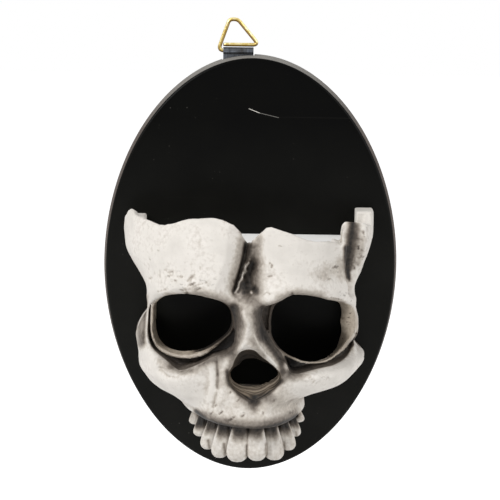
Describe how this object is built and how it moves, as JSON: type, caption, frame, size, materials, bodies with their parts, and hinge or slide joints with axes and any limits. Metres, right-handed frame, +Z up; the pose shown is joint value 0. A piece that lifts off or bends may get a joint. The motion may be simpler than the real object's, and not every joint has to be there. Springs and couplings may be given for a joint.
{
  "type": "skull candle holder",
  "caption": "Wall candle holder: a half skull with a broken open brow and a flat candle shelf on an oval black back plate, hung by a swinging wire ring.",
  "frame": {"origin": "middle of the back plate's rear face, where it meets the wall", "axes": "+Z up, +Y into the wall, +X to the right as seen from the front"},
  "size_m": [0.1, 0.0583, 0.1553],
  "materials": {
    "black_lacquered_wood": "gloss black lacquer, finely scratched",
    "bone_resin": "matt bone white paint with a dark wash in the hollows",
    "shelf_resin": "matt white",
    "zinc_steel": "zinc plated",
    "steel_strip": "rolled bright strip",
    "brass_wire": "drawn brass plated wire"
  },
  "bodies": {
    "holder": {"back_plate": "black_lacquered_wood", "skull_casting": "bone_resin", "candle_shelf": "shelf_resin", "skull_screw_upper_left": "zinc_steel", "skull_screw_upper_right": "zinc_steel", "skull_screw_lower_left": "zinc_steel", "skull_screw_lower_right": "zinc_steel", "hanger_strap": "steel_strip", "strap_nail_left": "zinc_steel", "strap_nail_right": "zinc_steel"},
    "ring": {"hanger_ring": "brass_wire"}
  },
  "joints": [
    {"name": "ring_swing", "type": "hinge", "parent": "holder", "child": "ring", "pos_m": [-0.005, -0.0021, 0.07264], "axis": [1, 0, 0], "range_deg": [-90, 90]}
  ]
}
